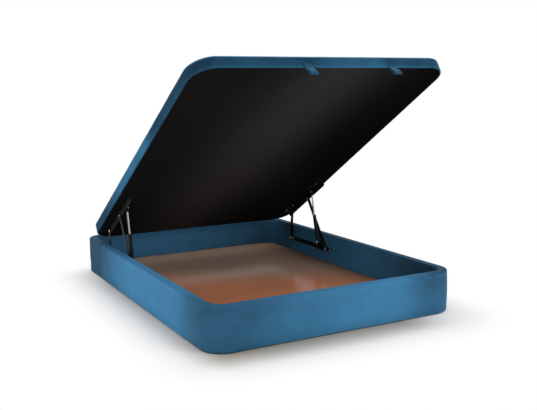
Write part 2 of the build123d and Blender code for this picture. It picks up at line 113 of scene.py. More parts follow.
class LidSettings(bpy.types.PropertyGroup):
    stitch_pitch: length("Stitch pitch", 155, "Distance between the quilt's stitch lines")
    stitch_depth: length("Stitch depth", 4.5, "How deep the stitch lines sink into the quilt")
    # Underside is the lighter end of the painted sheen on the black sheet
    underside: colour("Underside", "353535", "Smooth black sheet under the lid")
    felt: colour("Felt", "BFBDB3", "Felt pad between the lid's board and its quilt")


class WoodSettings(bpy.types.PropertyGroup):
    film: colour("Film", "BC7A58", "Light grain of the glossy wood film on the box's floor")
    film_dark: colour("Film grain", "AA6E50", "Dark grain of the same film")
    # Film grey is painted shade and reflection on the film, towards the head end and the right side
    film_painted_shade: colour("Film grey", "947E6B", "Greyer part of the same film")
    board: colour("Board", "B89468", "Raw chipboard of walls and posts")
    beech: colour("Beech", "CC9E6B", "Flat beech dowels")
    softwood: colour("Softwood", "D1AD78", "Planed battens, cleats and bearers")


class SteelSettings(bpy.types.PropertyGroup):
    powder: colour("Powder coat", "141312", "Black powder coat of brackets, links and lid frame")
    lacquer: colour("Lacquer", "181818", "Satin black lacquer of the gas cylinders")
    zinc: colour("Zinc", "F2F3F4", "Zinc plated bolts, nuts, screws and pins")
    chrome: colour("Chrome", "8E9092", "Ground and plated gas spring rods")
    wear: length("Edge rounding", 0.5, "Rounding of the steel's sawn and pressed edges")


class StageSettings(bpy.types.PropertyGroup):
    eye: bpy.props.FloatVectorProperty(
        name="Camera",
        description="Where the camera stands",
        default=(-1.923, -3.8055, 1.1234),
        size=3,
        subtype="TRANSLATION",
        unit="LENGTH",
    )
    turn: bpy.props.FloatProperty(
        name="Turn", description="Camera's turn to the right", default=0.494, unit="ROTATION"
    )
    dip: bpy.props.FloatProperty(
        name="Dip", description="Camera's tilt downwards", default=0.152, unit="ROTATION"
    )
    roll: bpy.props.FloatProperty(
        name="Roll", description="Camera's roll", default=-0.012, unit="ROTATION"
    )
    focal: bpy.props.FloatProperty(
        name="Focal length",
        description="Lens that gives the photograph's frame",
        default=PHOTO_FOCAL * SENSOR_WIDTH / PHOTO_WIDTH,
        unit="CAMERA",
    )
    floor: colour("Floor", "FAF9F8", "Plain pale studio floor")
    shade: colour("Shade", "A89F94", "The floor close to the bed's foot, where least light sweeps it")


def add(tree, kind, inputs=(), output=0, **fields):
    """Add a node with its fields, set or link its inputs, and return one of its outputs."""
    node = tree.nodes.new(kind)
    for field, value in fields.items():
        setattr(node, field, value)
    for socket, value in inputs.items() if isinstance(inputs, dict) else enumerate(inputs):
        if isinstance(value, bpy.types.NodeSocket):
            tree.links.new(value, node.inputs[socket])
        else:
            node.inputs[socket].default_value = value
    return node.outputs[output]


def opaque(rgb):
    """A colour with full alpha, as colour sockets take it."""
    return (*rgb, 1.0)


def surface(name, **constants):
    """A new material with its shader's plain values set, and its node tree and shader."""
    made = bpy.data.materials.new(name)
    made.use_nodes = True
    shader = made.node_tree.nodes["Principled BSDF"]
    for socket, value in constants.items():
        shader.inputs[socket.replace("_", " ")].default_value = value
    return made, made.node_tree, shader


def feed(tree, shader, **sockets):
    """Link node outputs to a shader's inputs."""
    for socket, value in sockets.items():
        tree.links.new(value, shader.inputs[socket.replace("_", " ")])


def stations(step):
    """Places round the bed, each a point one corner radius in with the way out, and the way round."""
    inner_x, inner_y = half_width - corner_radius, half_length - corner_radius
    corners = [(inner_x, inner_y), (-inner_x, inner_y), (-inner_x, -inner_y), (inner_x, -inner_y)]
    arc, places, run = corner_radius * math.pi / 2, [], 0.0
    for side, (x, y) in enumerate(corners):
        count = math.ceil(arc / step)
        for n in range(count):
            angle = math.pi / 2 * (side + n / count)
            places.append((x, y, math.cos(angle), math.sin(angle)))
        run += arc
        next_x, next_y = corners[(side + 1) % 4]
        straight = math.hypot(next_x - x, next_y - y)
        count = math.ceil(straight / step)
        out = math.pi / 2 * (side + 1)
        for n in range(count):
            share = n / count
            at = (x + (next_x - x) * share, y + (next_y - y) * share)
            places.append((*at, math.cos(out), math.sin(out)))
        run += straight
    return places, run


def finished(name, verts, faces, body, made, place=None, smooth=True):
    """A mesh piece of the object, facing outwards, riding on a body."""
    mesh = bpy.data.meshes.new(name)
    mesh.from_pydata(verts, [], faces)
    shell = bmesh.new()
    shell.from_mesh(mesh)
    bmesh.ops.recalc_face_normals(shell, faces=shell.faces)
    shell.to_mesh(mesh)
    shell.free()
    mesh.polygons.foreach_set("use_smooth", [smooth] * len(mesh.polygons))
    piece = bpy.data.objects.new(name, mesh)
    bpy.context.scene.collection.objects.link(piece)
    if place is not None:
        piece.matrix_world = place
    mesh.materials.append(made)
    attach(piece, body)
    return piece


def ring(profile, step, shaped):
    """Points and faces of a closed profile of (inset, height) run round the bed, and the way round."""
    places, way_round = stations(step)
    verts = []
    for x, y, out_x, out_y in places:
        edge = x + out_x * corner_radius, y + out_y * corner_radius
        for number, (inset, height) in enumerate(profile):
            reach = corner_radius - shaped(number, inset, height, *edge)
            verts.append((x + out_x * reach, y + out_y * reach, height))
    rows, count = len(places), len(profile)
    faces = [
        (i * count + j, (i + 1) % rows * count + j, (i + 1) % rows * count + (j + 1) % count,
         i * count + (j + 1) % count)
        for i in range(rows)
        for j in range(count)
    ]
    return verts, faces, way_round


def lines_across(half, edges, step):
    """Grid lines across a plate, close together near its two edges."""
    inner = half - edges[-1]
    count = math.ceil(2 * inner / step)
    middle = [-inner + 2 * inner * n / count for n in range(count + 1)]
    outer = [half - edge for edge in edges[:-1]]
    return [-v for v in outer] + middle + outer[::-1]


def plate(half_x, half_y, radius, edges, step, top, bottom):
    """Points and faces of a closed plate with rounded corners; top and bottom give heights."""
    across, along = lines_across(half_x, edges, step), lines_across(half_y, edges, step)
    layers = ([], [])
    for y in along:
        for x in across:
            deep = min(half_x - abs(x), half_y - abs(y))
            a, b = abs(x) - (half_x - radius), abs(y) - (half_y - radius)
            px, py = x, y
            if a > 0 and b > 0:
                pull = max(a, b) / math.hypot(a, b)
                px = math.copysign(half_x - radius + a * pull, x)
                py = math.copysign(half_y - radius + b * pull, y)
            layers[0].append((px, py, bottom(px, py, deep)))
            layers[1].append((px, py, top(px, py, deep)))
    wide, high = len(across), len(along)
    size = wide * high
    faces = []
    for i in range(high - 1):
        for j in range(wide - 1):
            at = i * wide + j
            faces.append((at, at + 1, at + wide + 1, at + wide))
            faces.append(tuple(size + v for v in (at + wide, at + wide + 1, at + 1, at)))
    rim = list(range(wide))
    rim += [i * wide + wide - 1 for i in range(1, high)]
    rim += [(high - 1) * wide + j for j in range(wide - 2, -1, -1)]
    rim += [i * wide for i in range(high - 2, 0, -1)]
    for n, at in enumerate(rim):
        following = rim[(n + 1) % len(rim)]
        faces.append((at, following, size + following, size + at))
    return layers[0] + layers[1], faces


def swell(piece, held, pressure, reach):
    """Puffs a padded piece with Blender's cloth round its held points, and keeps the swollen shape."""
    scene, mesh = bpy.context.scene, piece.data
    pinned = piece.vertex_groups.new(name="held")
    pinned.add([v.index for v in mesh.vertices if held(*v.co)], 1.0, "REPLACE")
    padding = piece.modifiers.new("padding", "CLOTH")
    cloth = padding.settings
    cloth.quality, cloth.mass, cloth.vertex_group_mass = 4, 0.2, "held"
    cloth.use_pressure, cloth.uniform_pressure_force = True, pressure
    cloth.effector_weights.gravity = 0
    padding.collision_settings.use_collision = False
    padding.point_cache.frame_start, padding.point_cache.frame_end = 1, SWELL_FRAMES
    for number in range(1, SWELL_FRAMES + 1):
        scene.frame_set(number)
    graph = bpy.context.evaluated_depsgraph_get()
    swollen = piece.evaluated_get(graph).to_mesh()
    moved = [v.co.copy() for v in swollen.vertices]
    piece.evaluated_get(graph).to_mesh_clear()
    piece.modifiers.remove(padding)
    piece.vertex_groups.remove(pinned)
    for vertex, place in zip(mesh.vertices, moved):
        step = place - vertex.co
        vertex.co = vertex.co + step * min(1, reach / max(step.length, 1e-9))
    scene.frame_set(1)
    mesh.update()


def wander(x, y, z, size, seed):
    """Smooth wandering between -1 and 1 with features of a size in metres."""
    return noise.noise(Vector((x / size + seed, y / size, z / size)))


def nap(piece, tone):
    """Keeps the painted light and shade at each point, from 0 shaded to 1 lit."""
    layer = piece.data.attributes.new("nap", "FLOAT", "POINT")
    layer.data.foreach_set("value", [tone(*v.co) for v in piece.data.vertices])


def velvet(name, pile, deep, sheen=0.35, gloss=0.2):
    """Polyester velvet, woven and cut: a soft deep colour, paler at glancing angles and where light is
    painted on from the mesh's painted light attribute, with faint streaks along the weave."""
    made, tree, shader = surface(
        name, Roughness=0.85, Sheen_Weight=sheen, Sheen_Roughness=0.45, IOR=1.5,
        Specular_IOR_Level=gloss, Sheen_Tint=opaque(pile),
    )
    place = add(tree, "ShaderNodeTexCoord", output="Object")
    # Painted light and shade kept on each mesh mixes the deep pile towards the lit pile colour
    lie = add(tree, "ShaderNodeAttribute", output="Fac", attribute_name="nap")
    patches = add(
        tree, "ShaderNodeTexNoise",
        {"Vector": place, "Scale": 1 / (90 * MM), "Detail": 3, "Roughness": 0.55},
    )
    patches = add(
        tree, "ShaderNodeMapRange", [patches, 0.3, 0.7, -0.05, 0.05], interpolation_type="SMOOTHSTEP"
    )
    # Real pile rows of 1 mm are drawn 9 mm apart to show
    rows = add(tree, "ShaderNodeMapping", {"Vector": place, "Scale": (1 / 12, 1 / 12, 1)})
    rows = add(
        tree, "ShaderNodeTexNoise",
        {"Vector": rows, "Scale": 1 / (9 * MM), "Detail": 3, "Roughness": 0.55},
    )
    rows = add(
        tree, "ShaderNodeMapRange", [rows, 0.3, 0.7, -0.02, 0.02], interpolation_type="SMOOTHSTEP"
    )
    both = add(tree, "ShaderNodeMath", [patches, rows], operation="ADD")
    tone = add(tree, "ShaderNodeMath", [lie, both], operation="ADD", use_clamp=True)
    base = add(tree, "ShaderNodeMix", {0: tone, 6: opaque(deep), 7: opaque(pile)}, 2, data_type="RGBA")
    tufts = add(
        tree, "ShaderNodeTexNoise",
        {"Vector": place, "Scale": 1 / (4 * MM), "Detail": 4, "Roughness": 0.7},
    )
    bump = add(tree, "ShaderNodeBump", {"Height": tufts, "Distance": 0.6 * MM, "Strength": 0.5})
    feed(tree, shader, Base_Color=base, Normal=bump)
    return made


class BED_OT_cover(bpy.types.Operator):
    """Padded velvet cover round the box, turned in over its rim"""

    bl_idname = "bed.cover"
    bl_label = "Outer cover"

    def execute(self, context):
        cloth = context.scene.bed_velvet
        low, high = cover_low.z, cover_high.z
        back = 14 * MM
        # Inset and height in millimetres: out under the foot, up the side and over the rim to its back
        foot = [(14, 0), (10, 0), (6, 0), (3.2, 0.6), (1.3, 2.0), (0.35, 4.4), (0, 8)]
        profile = [(inset * MM, low + height * MM) for inset, height in foot]
        wall_low, wall_high, rows = low + 16 * MM, high - 16 * MM, 15
        profile += [(0, wall_low + (wall_high - wall_low) * n / rows) for n in range(rows + 1)]
        # The rim's first eight points still belong to the puffed side, and the rest lie on the board
        puffed = len(profile) + 8
        rim = [(0, -9), (0.3, -5.5), (1.1, -2.9), (2.6, -1.1), (5.0, -0.25), (8.5, 0), (15, -0.2),
               (24, -0.5), (34, -0.4), (40, 0), (43.6, -0.1), (45.6, -0.9), (46.3, -1.9), (46, -2.9),
               (40, -3), (28, -3), (16, -3), (14, -4), (14, -30), (14, -80), (14, -140), (14, -180)]
        profile += [(inset * MM, high + height * MM) for inset, height in rim]

        def shaped(number, inset, height, x, y):
            if inset >= back or number >= puffed:
                return inset
            share = (height - low) / (high - low)
            body = math.sin(math.pi * min(max(share, 0), 1))
            loose = wander(x, y, height, 0.22, 3) + 0.5 * wander(x, y, height * 3, 0.07, 8)
            return inset - body * cloth.crown - (0.3 + 0.7 * body) * cloth.slack * loose

        verts, faces, _ = ring(profile, 11 * MM, shaped)
        made = velvet("polyester_velvet_cut_pile_cover", cloth.pile, cloth.deep)
        piece = finished("cover_velvet", verts, faces, "box", made)
        wall_back = half_width - 13 * MM, half_length - 13 * MM

        def held(x, y, z):
            on_back = abs(x) < wall_back[0] and abs(y) < wall_back[1]
            return on_back or z < low + 1 * MM or z > high - 3 * MM

        swell(piece, held, 3.0, 2.5 * MM)
        # Painted light and shade on the cover's velvet
        nap(piece, cover_painted_light)
        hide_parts("outer_cover")
        return {"FINISHED"}


def cover_painted_light(x, y, z):
    """Painted light and shade on the cover: painted shade at the bends, towards the head and near its top,
    painted light between them.
    """
    # Metres round a corner, from before its bend to its middle
    beyond_x = max(abs(x) - (half_width - corner_radius), -0.35)
    beyond_y = max(abs(y) - (half_length - corner_radius), -0.35)
    bend = smooth_step(beyond_x + beyond_y, -0.16, 0.09)
    ends = smooth_step(abs(y), half_length - 0.12, half_length - 0.02)
    # Painted shade: the ends darken to the left, and the whole cover towards the head
    leftwards = 0.32 * ends * (1 - bend) * (1 - smooth_step(x, -0.35, 0.15))
    headwards = 0.97 * smooth_step(y, 0, 0.85) * (1 - 0.5 * smooth_step(x, 0, 0.5))
    headwards *= 1 - ends * smooth_step(x, -0.6, -0.4)
    level = 0.88 - 0.11 * smooth_step(z, 0.05, 0.17) - 0.59 * bend - leftwards - headwards
    # Painted light on the rim as on the side below it, and painted shade on the rim on the right
    on_rim = smooth_step(z, cover_high.z - 6 * MM, cover_high.z - 1.5 * MM)
    shaded = smooth_step(x, 0.45, half_width - 0.03)
    rim = level * (1 - shaded) - 0.13 * shaded
    return max(0.12 + 0.88 * (level * (1 - on_rim) + on_rim * rim), 0)


def lining_painted_light(x, y, z):
    """Painted light and shade on the lining: painted light along the middle of each side, painted shade
    towards the corners.
    """
    side = (1 - smooth_step(y, 0.4, 0.78)) * (1 - smooth_step(-y, 0.1, 0.85))
    head = 0.2 + 0.66 * (1 - smooth_step(x, -0.35, 0.75))
    at_head = smooth_step(y, 0.8, 0.9)
    return side * (1 - at_head) + head * at_head + 0.4 * smooth_step(-y, 0.8, 0.9)


class BED_OT_lining(bpy.types.Operator):
    """Velvet lining of the box walls"""

    bl_idname = "bed.lining"
    bl_label = "Inner lining"

    def execute(self, context):
        cloth = context.scene.bed_velvet
        low, high = lining_low.z, lining_high.z
        back = half_width - lining_high.x
        face = back + 4 * MM
        rows = 14
        profile = [(back, low), (back, (low + high) / 2), (back, high), (back + 2 * MM, high)]
        profile += [(face, high - 1.5 * MM - (high - low - 3 * MM) * n / rows) for n in range(rows + 1)]
        profile += [(face - 1.5 * MM, low)]

        def shaped(number, inset, height, x, y):
            if inset < face:
                return inset
            hollow = 0.5 + 0.5 * wander(x, y, height * 0.5, 0.16, 21)
            return inset - cloth.slack * hollow

        verts, faces, way_round = ring(profile, 12 * MM, shaped)
        made = velvet("polyester_velvet_cut_pile_lining", cloth.inside, cloth.deep)
        piece = finished("lining_velvet", verts, faces, "box", made)
        # Painted light and shade on the lining's velvet
        nap(piece, lining_painted_light)
        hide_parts("inner_lining")
        return {"FINISHED"}


class BED_OT_lid(bpy.types.Operator):
    """Lid's cloth: border, quilt, pad and black underside sheet"""

    bl_idname = "bed.lid"
    bl_label = "Lid cloth"

    def execute(self, context):
        cloth, lid = context.scene.bed_velvet, context.scene.bed_lid
        self.border(cloth)
        self.quilt(cloth, lid)
        self.pad(lid)
        self.underside(lid)
        return {"FINISHED"}

    def border(self, cloth):
        """Velvet band round the lid's edge, turned in a few millimetres under it."""
        # Inset and height in millimetres: from under the lid out round its edge, and back behind the cloth
        outside = [(7.5, 0.2), (5.8, 0), (4, 0.15), (2.3, 0.9), (1, 2.1), (0.25, 4), (0, 7), (0, 12),
                   (0, 18), (0, 24), (0, 30), (0, 36), (0, 42), (0.1, 46), (0.6, 48.2), (1.6, 49)]
        inside = [(3, 49), (3, 40), (3, 28), (3, 15), (3.1, 5), (3.8, 2.2), (5, 1.2), (7.5, 1)]
        profile = [(inset * MM, height * MM) for inset, height in outside + inside]

        def shaped(number, inset, height, x, y):
            if number >= len(outside) - 1 or number == 0:
                return inset
            loose = wander(x, y, height, 0.13, 31) + 0.6 * wander(x, y, height * 2, 0.045, 37)
            return inset - 0.6 * cloth.slack * loose

        verts, faces, way_round = ring(profile, 9 * MM, shaped)
        made = velvet("polyester_velvet_cut_pile_border", cloth.pile, cloth.deep, sheen=0.15, gloss=0.06)
        piece = finished("lid_border_velvet", verts, faces, "lid", made, lid_place)
        # Painted light and shade on the border's velvet
        nap(piece, border_painted_light)
        # The band is as high as the border, and the rest of its width is folded under the lid
        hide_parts("lid_border")

    def quilt(self, cloth, lid):
        """Quilted top with its foam, sewn in diamonds."""
        base, crest = border_height, lid_thickness
        edges = [v * MM for v in (0, 0.5, 1.6, 3.4, 6, 10, 15)]
        half_pitch = lid.stitch_pitch / 2

        def sewing(x, y):
            """How near a point is to a line of the diamond stitching, from 0 to 1."""
            near = []
            for run in ((x + y) / math.sqrt(2), (x - y) / math.sqrt(2)):
                off = (run + half_pitch) % lid.stitch_pitch - half_pitch
                near.append(math.exp(-((abs(off) / (13 * MM)) ** 1.3)))
            return max(near)

        # A round edge, then stitch lines that fade in from 15 to 35 mm inside it
        def top(x, y, deep):
            corner = 7 * MM
            drop = corner - math.sqrt(max(corner**2 - max(corner - deep, 0) ** 2, 0))
            sewn = sewing(x, y) * min(max((deep - 15 * MM) / (20 * MM), 0), 1)
            puff = 1.2 * MM * wander(x, y, 0, 0.11, 43)
            return crest - drop - sewn * lid.stitch_depth + puff * min(deep / (20 * MM), 1)

        size = (half_width, half_length, corner_radius)
        verts, faces = plate(*size, edges, 10 * MM, top, lambda x, y, d: base)
        made = quilt_cloth(cloth)
        piece = finished("lid_quilt_padded", verts, faces, "lid", made, lid_place)
        swell(piece, lambda x, y, z: z < base + 1 * MM or sewing(x, y) > 0.75, 3.0, 3 * MM)
        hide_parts("lid_quilt")

    def pad(self, lid):
        """Felt pad between the lid's board and its quilt."""
        low, high, inset = 40 * MM, border_height, 3.2 * MM

        def top(x, y, deep):
            soft = 2 * MM
            drop = soft - math.sqrt(max(soft**2 - max(soft - deep, 0) ** 2, 0))
            return high - 0.2 * MM - drop - 0.3 * MM * (1 + wander(x, y, 0, 0.05, 51))

        edges = [v * MM for v in (0, 0.7, 2, 12)]
        size = (half_width - inset, half_length - inset, corner_radius - inset)
        verts, faces = plate(*size, edges, 40 * MM, top, lambda x, y, d: low)
        made, tree, shader = surface("needled_polyester_felt", Roughness=0.95, IOR=1.5, Sheen_Weight=0.2)
        place = add(tree, "ShaderNodeTexCoord", output="Object")
        # Soft pale felt, a little mottled: fibres clump every 3 mm, drawn 6 mm apart to show
        clumps = add(
            tree, "ShaderNodeTexNoise",
            {"Vector": place, "Scale": 1 / (6 * MM), "Detail": 3, "Roughness": 0.55},
        )
        clumps = add(
            tree, "ShaderNodeMapRange", [clumps, 0.3, 0.7, 0.6, 1.0], interpolation_type="SMOOTHSTEP"
        )
        ends = {6: opaque(linear("8C8980")), 7: opaque(lid.felt)}
        base = add(tree, "ShaderNodeMix", {0: clumps, **ends}, 2, data_type="RGBA")
        bump = add(tree, "ShaderNodeBump", {"Height": clumps, "Distance": 0.5 * MM})
        feed(tree, shader, Base_Color=base, Normal=bump)
        piece = finished("lid_felt_pad", verts, faces, "lid", made, lid_place)
        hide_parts("lid_pad")

    def underside(self, lid):
        """Black sheet under the lid, tucked beneath the border."""
        inset, thick = 7.7 * MM, 1 * MM
        size = (half_width - inset, half_length - inset, corner_radius - inset)

        def sag(x, y):
            return 0.35 * MM * wander(x, y, 0, 0.35, 61)

        edges = [v * MM for v in (0, 1.5, 6, 20)]
        verts, faces = plate(
            *size, edges, 22 * MM,
            lambda x, y, d: thick,
            lambda x, y, d: 0.36 * MM + sag(x, y),
        )
        made, tree, shader = surface(
            "spunbonded_polypropylene_black", Roughness=0.6, IOR=1.49, Specular_IOR_Level=0.0
        )
        place = add(tree, "ShaderNodeTexCoord", output="Object")
        # Smooth black sheet with a painted soft sheen on it: bonded fibres cloud every 25 mm
        clouds = add(
            tree, "ShaderNodeTexNoise",
            {"Vector": place, "Scale": 1 / (25 * MM), "Detail": 3, "Roughness": 0.55},
        )
        clouds = add(
            tree, "ShaderNodeMapRange", [clouds, 0.3, 0.7, -0.02, 0.02], interpolation_type="SMOOTHSTEP"
        )
        # Painted sheen: this attribute lifts the black towards the lighter underside colour along the sheet's
        # middle
        pressed = add(tree, "ShaderNodeAttribute", output="Fac", attribute_name="nap")
        tone = add(tree, "ShaderNodeMath", [clouds, pressed], operation="ADD", use_clamp=True)
        ends = {6: opaque(linear("060606")), 7: opaque(lid.underside)}
        base = add(tree, "ShaderNodeMix", {0: tone, **ends}, 2, data_type="RGBA")
        rough = add(tree, "ShaderNodeMapRange", [clouds, -0.02, 0.02, 0.56, 0.64])
        feed(tree, shader, Base_Color=base, Roughness=rough)
        piece = finished("lid_underside_sheet", verts, faces, "lid", made, lid_place)
        nap(piece, underside_painted_sheen)
        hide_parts("lid_underside")


def border_painted_light(x, y, z):
    """Painted light and shade on the border: painted shade round the foot end, painted light along the middle
    of each side.
    """
    away = smooth_step(y, -0.36, -0.22) * (1 - smooth_step(y, 0.2, 0.64))
    # Painted highlight at its lower edge and right of the middle, painted shade to the left, and painted
    # shadow above the straps
    edge_highlight = 1 - smooth_step(z, 2 * MM, 12 * MM)
    bright = smooth_step(x, -0.1, 0.1) * (1 - smooth_step(x, 0.22, 0.42))
    level = 0.18 * edge_highlight + 0.2 * bright - 0.03 - 0.1 * (1 - smooth_step(x, -0.62, -0.55))
    strap_shadow = sum(math.exp(-(((x - middle) / (42 * MM)) ** 2)) for middle in strap_middles)
    level = max(level - 0.16 * strap_shadow * smooth_step(z, 0, 20 * MM), -0.13)
    return 0.12 + 0.88 * (level + (1 - level) * away * 0.45)


def underside_painted_sheen(x, y, z):
    """Painted sheen on the underside sheet: strongest along its middle, towards the foot."""
    footwards = y + 0.7
    across = math.exp(-(((x - 0.03 + 0.12 * footwards) / 0.28) ** 2))
    along = 1 + 0.13 * smooth_step(y, -0.2, 0.5)
    left = 1 - smooth_step(x - 0.63 * footwards, -0.5, 0.18)
    return max(0.06 + 0.16 * left + 0.74 * across * along, 0)


def smooth_step(value, low, high):
    """0 below low, 1 above high, and a smooth rise between them."""
    share = min(max((value - low) / (high - low), 0), 1)
    return share * share * (3 - 2 * share)


def quilt_cloth(cloth):
    """Woven polyester over wadding: matt, evenly coloured, with a fine cross weave."""
    made, tree, shader = surface("woven_polyester_quilted", Roughness=0.8, Sheen_Weight=0.15, IOR=1.5)
    place = add(tree, "ShaderNodeTexCoord", output="Object")
    # Threads every 0.6 mm, drawn 5 mm apart to show
    threads = [
        add(
            tree, "ShaderNodeTexNoise",
            {
                "Vector": add(tree, "ShaderNodeMapping", {"Vector": place, "Scale": stretch}),
                "Scale": 1 / (5 * MM), "Detail": 3, "Roughness": 0.55,
            },
        )
        for stretch in ((1 / 14, 1, 1), (1, 1 / 14, 1))
    ]
    weave = add(tree, "ShaderNodeMath", threads, operation="MULTIPLY")
    tone = add(tree, "ShaderNodeMapRange", [weave, 0.15, 0.4, 0.5, 0.9], interpolation_type="SMOOTHSTEP")
    ends = {6: opaque(cloth.deep), 7: opaque(cloth.pile)}
    base = add(tree, "ShaderNodeMix", {0: tone, **ends}, 2, data_type="RGBA")
    bump = add(tree, "ShaderNodeBump", {"Height": weave, "Distance": 0.4 * MM})
    feed(tree, shader, Base_Color=base, Normal=bump)
    return made


class BED_OT_straps(bpy.types.Operator):
    """Velvet ribbon loops that the lid is pulled down by"""

    bl_idname = "bed.straps"
    bl_label = "Pull straps"

    def execute(self, context):
        cloth = context.scene.bed_velvet
        made = velvet("polyester_velvet_ribbon", cloth.pile, cloth.deep)
        for side in ("left", "right"):
            low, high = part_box(f"pull_strap_{side}")
            self.loop(side, (low.x + high.x) / 2, (high.x - low.x) / 2, made)
        return {"FINISHED"}

    def loop(self, side, middle, half, made):
        """One ribbon from the stitched patch down round the loop and back up to it."""
        # Out from the lid's edge and up from its underside, in millimetres
        route = [(1.2, 15), (1.4, 8), (1.6, 1), (5.5, -8), (13, -19), (21, -31), (26.5, -41),
                 (28.5, -48), (26, -52), (21, -51.5), (16.5, -45), (12, -34), (7.4, -22),
                 (3.8, -10), (2.9, 0), (3.1, 8), (2.9, 15)]
        fineness, columns = 8, 9
        rows = fineness * (len(route) - 1)
        thick = 0.8 * MM
        line = [smooth_point(route, n / fineness) for n in range(rows + 1)]
        verts = []
        for n, (out, up) in enumerate(line):
            ahead, behind = line[min(n + 1, rows)], line[max(n - 1, 0)]
            run = (ahead[0] - behind[0], ahead[1] - behind[1])
            size = math.hypot(*run)
            normal = (run[1] / size, -run[0] / size)
            share = n / rows
            lean = 3 * MM * math.sin(math.pi * share)
            for skin in (-1, 1):
                for k in range(columns + 1):
                    across = 2 * k / columns - 1
                    cup = 0.9 * MM * (1 - across**2) * math.sin(math.pi * share)
                    off = skin * thick + cup
                    y = -half_length - out * MM - normal[0] * off
                    verts.append((middle + lean + across * half * 0.97, y, up * MM + normal[1] * off))
        width = columns + 1
        faces = []
        for n in range(rows):
            for k in range(columns):
                at, beyond = (2 * n) * width + k, (2 * n + 2) * width + k
                faces.append((at, at + 1, beyond + 1, beyond))
                at, beyond = (2 * n + 1) * width + k, (2 * n + 3) * width + k
                faces.append((at, beyond, beyond + 1, at + 1))
            for k in (0, columns):
                a, b = 2 * n * width + k, (2 * n + 1) * width + k
                faces.append((a, b, b + 2 * width, a + 2 * width))
        for n in (0, rows):
            for k in range(columns):
                a, b = 2 * n * width + k, (2 * n + 1) * width + k
                faces.append((a, a + 1, b + 1, b))
        piece = finished(f"strap_loop_{side}", verts, faces, "lid", made, lid_place)

        # Painted light on the free part of the loop, lighter towards its right, and painted shade on the rest
        def strap_painted_light(x, y, z):
            lit = smooth_step(-z, -4 * MM, 12 * MM) * (1 - smooth_step(-z, 22 * MM, 44 * MM))
            return 0.1 + 0.28 * lit * smooth_step(x, middle - half, middle)

        nap(piece, strap_painted_light)
        run = sum(math.dist(line[n], line[n + 1]) for n in range(rows)) * MM
        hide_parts(f"pull_strap_{side}")


def smooth_point(route, at):
    """A point on the smooth curve through a route, at a place counted in route points."""
    n = min(int(at), len(route) - 2)
    t = at - n
    a, b, c, d = (route[min(max(k, 0), len(route) - 1)] for k in (n - 1, n, n + 1, n + 2))
    return tuple(
        0.5 * (2 * q + (r - p) * t + (2 * p - 5 * q + 4 * r - s) * t**2 + (3 * q - p - 3 * r + s) * t**3)
        for p, q, r, s in zip(a, b, c, d)
    )


def dress(names, made, rounding=None):
    """Gives CAD nodes a material, and rounds their edges a little."""
    for name in names:
        node = frame["nodes"][name]
        node.data.materials.clear()
        node.data.materials.append(made)
        if rounding:
            bevel = node.modifiers.new("edges", "BEVEL")
            bevel.width, bevel.segments = rounding, 2
            bevel.limit_method, bevel.angle_limit = "ANGLE", math.radians(40)
            bevel.harden_normals = True


def both_sides(*names):
    """Names of the left and the right copy of each piece."""
    return [f"{name}_{side}" for name in names for side in ("left", "right")]


class BED_OT_floor_board(bpy.types.Operator):
    """Glossy wood film on the box's floor"""

    bl_idname = "bed.floor_board"
    bl_label = "Floor board"

    def execute(self, context):
        wood = context.scene.bed_wood
        made, tree, shader = surface(
            "melamine_film_wood_grain_gloss", Roughness=0.16, IOR=1.5, Specular_IOR_Level=0.02
        )
        place = add(tree, "ShaderNodeTexCoord", output="Object")
        # Glossy film with soft grain across the bed: fibres 2.5 mm wide, drawn 6 mm wide to show
        fibres = add(tree, "ShaderNodeMapping", {"Vector": place, "Scale": (1 / 30, 1, 1)})
        fibres = add(
            tree, "ShaderNodeTexNoise",
            {"Vector": fibres, "Scale": 1 / (6 * MM), "Detail": 4, "Roughness": 0.65},
        )
        lines = add(
            tree, "ShaderNodeMapRange", [fibres, 0.35, 0.65, 0, 0.4], interpolation_type="SMOOTHSTEP"
        )
        figure = add(tree, "ShaderNodeMapping", {"Vector": place, "Scale": (1 / 9, 1, 1)})
        figure = add(
            tree, "ShaderNodeTexNoise",
            {"Vector": figure, "Scale": 1 / (70 * MM), "Detail": 3, "Roughness": 0.5},
        )
        cloud = add(
            tree, "ShaderNodeMapRange", [figure, 0.35, 0.65, 0, 0.3], interpolation_type="SMOOTHSTEP"
        )
        tone = add(tree, "ShaderNodeMath", [lines, cloud], operation="ADD")
        ends = {6: opaque(wood.film), 7: opaque(wood.film_dark)}
        warm = add(tree, "ShaderNodeMix", {0: tone, **ends}, 2, data_type="RGBA")
        # Painted shade and painted reflection of the dark walls: the film turns grey towards the head end and
        # the right side
        along = add(
            tree, "ShaderNodeVectorMath", [place, (0.6, 1, 0)], "Value", operation="DOT_PRODUCT"
        )
        painted_shade_share = add(
            tree, "ShaderNodeMapRange", [along, -0.12, 0.4, 0, 0.9], interpolation_type="SMOOTHSTEP"
        )
        ends = {6: warm, 7: opaque(wood.film_painted_shade)}
        base = add(tree, "ShaderNodeMix", {0: painted_shade_share, **ends}, 2, data_type="RGBA")
        bump = add(tree, "ShaderNodeBump", {"Height": fibres, "Distance": 0.05 * MM, "Strength": 0.4})
        feed(tree, shader, Base_Color=base, Normal=bump)
        dress(["floor_board"], made, 1 * MM)
        return {"FINISHED"}


